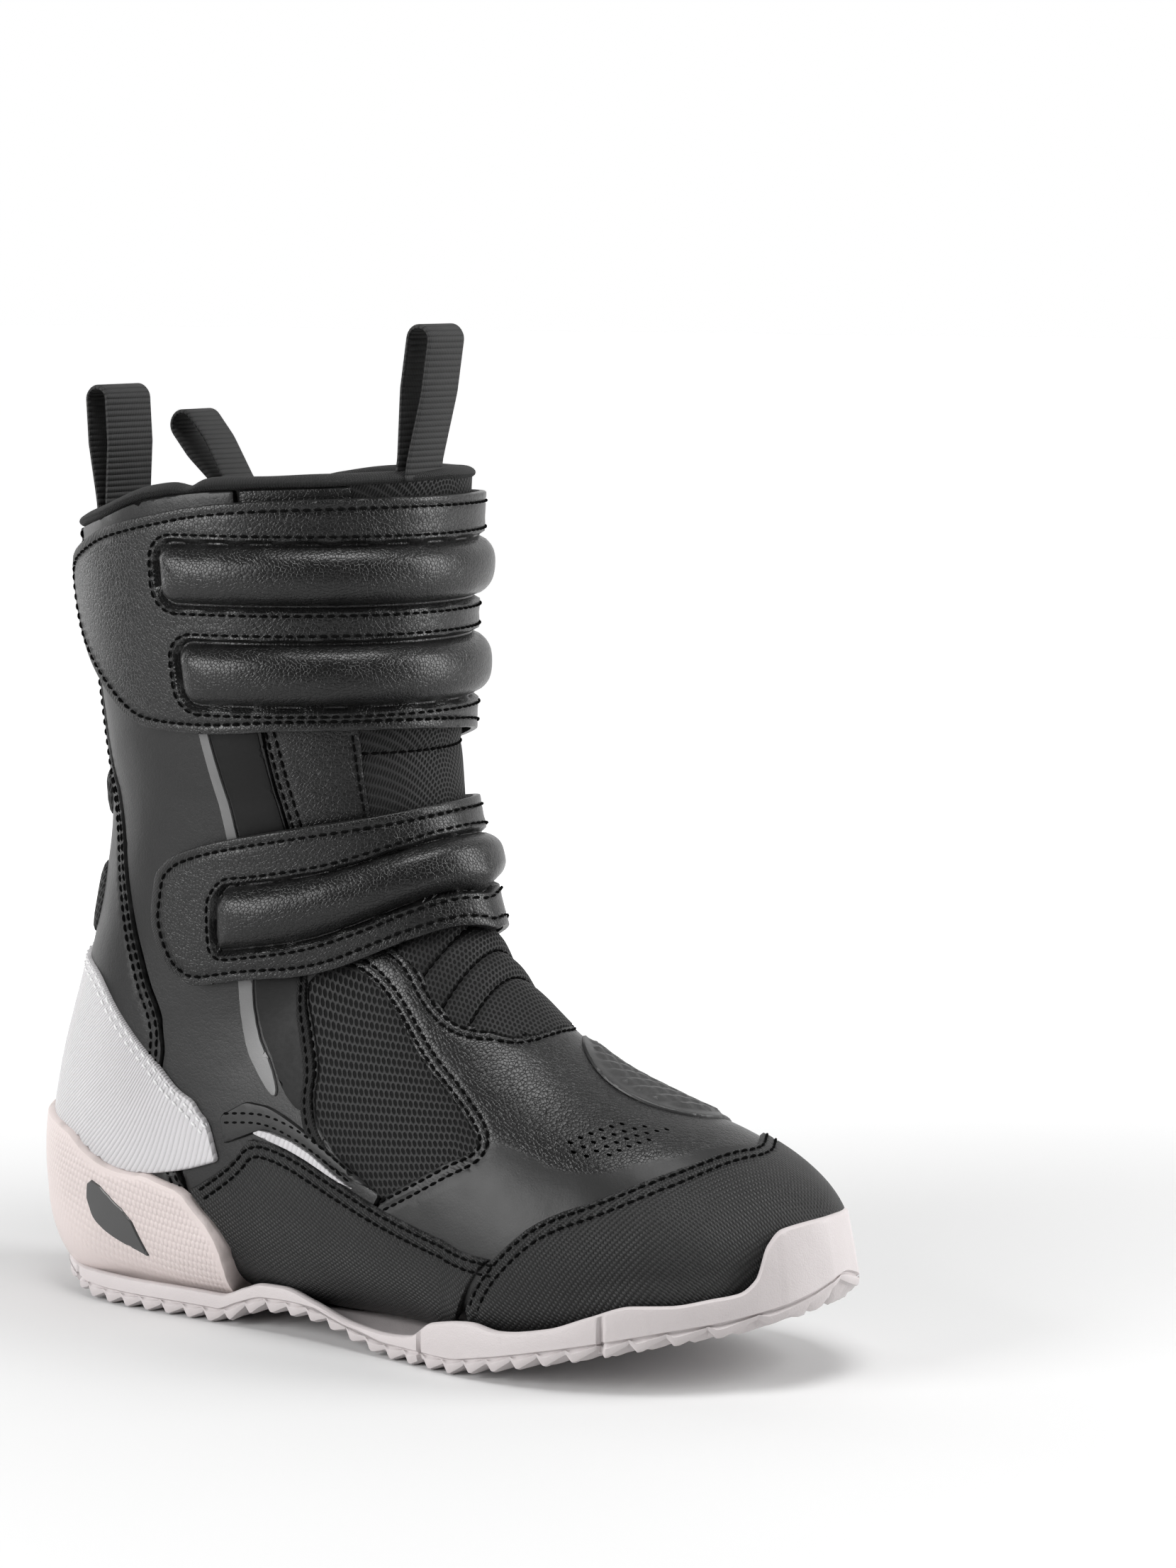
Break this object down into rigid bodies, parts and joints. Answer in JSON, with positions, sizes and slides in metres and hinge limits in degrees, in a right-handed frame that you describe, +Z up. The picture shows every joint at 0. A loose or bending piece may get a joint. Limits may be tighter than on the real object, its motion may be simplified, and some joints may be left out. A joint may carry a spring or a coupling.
{
  "type": "motorcycle touring boot",
  "caption": "Right black leather motorcycle touring boot: two padded hook-and-loop straps, inner side zip under a flap, shift pad, pale heel shell and lugged pale sole, three pull loops.",
  "frame": {"origin": "centre of the bounding box at floor level, under the tread's flats", "axes": "+X towards the toe, +Y to the inner (medial) side of the right foot, +Z up"},
  "size_m": [0.3068, 0.1262, 0.3369],
  "materials": {
    "black_leather": "pebbled black full-grain leather, satin",
    "black_microfibre": "smooth and embossed black microfibre leather",
    "black_mesh": "open black air mesh",
    "black_webbing": "ribbed black polyester webbing and knit binding",
    "pale_rubber": "matt pale grey moulded rubber",
    "black_rubber": "smooth black moulded rubber with raised ridges",
    "pale_heel_leather": "ribbed pale grey microfibre",
    "heel_shell": "pale moulded heel shell with a scale texture",
    "grey_reflective": "dark grey retro-reflective film",
    "grey_lining": "dark grey waterproof lining with a knit face",
    "lasting_board": "fibre lasting board",
    "foam": "moulded foam",
    "stiffener": "thermoplastic stiffener sheet",
    "dark_metal": "dark lacquered zip metal",
    "hook_and_loop": "hook and loop tape"
  },
  "bodies": {
    "boot": {"outsole": "pale_rubber", "shank": "stiffener", "tongue_gaiter": "black_mesh", "facing_outer": "black_leather", "vamp": "black_leather", "mesh_panel_outer": "black_mesh", "vamp_side_outer": "black_microfibre", "vamp_side_inner": "black_microfibre", "quarter_outer": "black_leather", "quarter_inner": "black_leather", "facing_inner": "black_leather", "zip_gusset": "black_mesh", "rear_panel": "black_leather", "toe_cap": "black_microfibre", "rand_outer": "black_microfibre", "rand_inner": "black_microfibre", "side_strip": "black_leather", "shift_pad": "black_rubber", "reflective_strip": "grey_reflective", "heel_counter": "heel_shell", "heel_panel": "pale_heel_leather", "heel_badge": "grey_reflective", "toe_stiffener": "stiffener", "heel_stiffener": "stiffener", "ankle_cup_outer": "foam", "ankle_cup_inner": "foam", "lasting_board": "lasting_board", "footbed": "foam", "bootie": "grey_lining", "collar_binding": "black_webbing", "upper_strap_base": "black_leather", "upper_pad_top_inner": "black_leather", "upper_pad_low_inner": "black_leather", "lower_strap_base": "black_leather", "lower_pad_inner": "black_leather", "upper_loop_tape": "hook_and_loop", "lower_loop_tape": "hook_and_loop", "zip_tape_front": "black_webbing", "zip_tape_back": "black_webbing", "zip_teeth": "dark_metal"},
    "upper_strap": {"upper_strap_flap": "black_leather", "upper_pad_top": "black_leather", "upper_pad_low": "black_leather", "upper_hook_tape": "hook_and_loop"},
    "lower_strap": {"lower_strap_flap": "black_leather", "lower_pad": "black_leather", "lower_hook_tape": "hook_and_loop"},
    "slider": {"zip_slider": "dark_metal"},
    "puller": {"zip_puller": "dark_metal"},
    "flap": {"zip_flap": "black_leather"},
    "rear_loop": {"rear_pull_loop": "black_webbing"},
    "front_loop": {"front_pull_loop": "black_webbing"},
    "side_loop": {"side_pull_loop": "black_webbing"}
  },
  "joints": [
    {"name": "upper_strap_fold", "type": "hinge", "parent": "boot", "child": "upper_strap", "pos_m": [-0.00926, 0.03789, 0.23822], "axis": [0.0204, 0.0489, 0.9986], "range_deg": [0, 105]},
    {"name": "lower_strap_fold", "type": "hinge", "parent": "boot", "child": "lower_strap", "pos_m": [-0.00467, 0.03156, 0.15147], "axis": [-0.1208, 0.0657, 0.9905], "range_deg": [0, 95]},
    {"name": "zip_travel", "type": "slide", "parent": "boot", "child": "slider", "axis": [0.1921, -0.0878, -0.9775], "range_m": [0, 0.12]},
    {"name": "puller_swing", "type": "hinge", "parent": "slider", "child": "puller", "pos_m": [-0.08795, 0.05735, 0.26567], "axis": [0.9752, 0.1287, 0.1801], "range_deg": [0, 150]},
    {"name": "zip_flap_fold", "type": "hinge", "parent": "boot", "child": "flap", "pos_m": [-0.05757, 0.04878, 0.18407], "axis": [0.2339, -0.1406, -0.962], "range_deg": [0, 26]},
    {"name": "rear_loop_bend", "type": "hinge", "parent": "boot", "child": "rear_loop", "pos_m": [-0.13162, 0.0001, 0.27266], "axis": [0, 1, 0], "range_deg": [-12, 12], "stiffness_Nm_per_rad": 0.03},
    {"name": "front_loop_bend", "type": "hinge", "parent": "boot", "child": "front_loop", "pos_m": [-0.00037, -0.00947, 0.29109], "axis": [0, 1, 0], "range_deg": [-12, 12], "stiffness_Nm_per_rad": 0.03},
    {"name": "side_loop_bend", "type": "hinge", "parent": "boot", "child": "side_loop", "pos_m": [-0.11399, 0.03972, 0.27794], "axis": [0, 1, 0], "range_deg": [-10, 20], "stiffness_Nm_per_rad": 0.02}
  ]
}
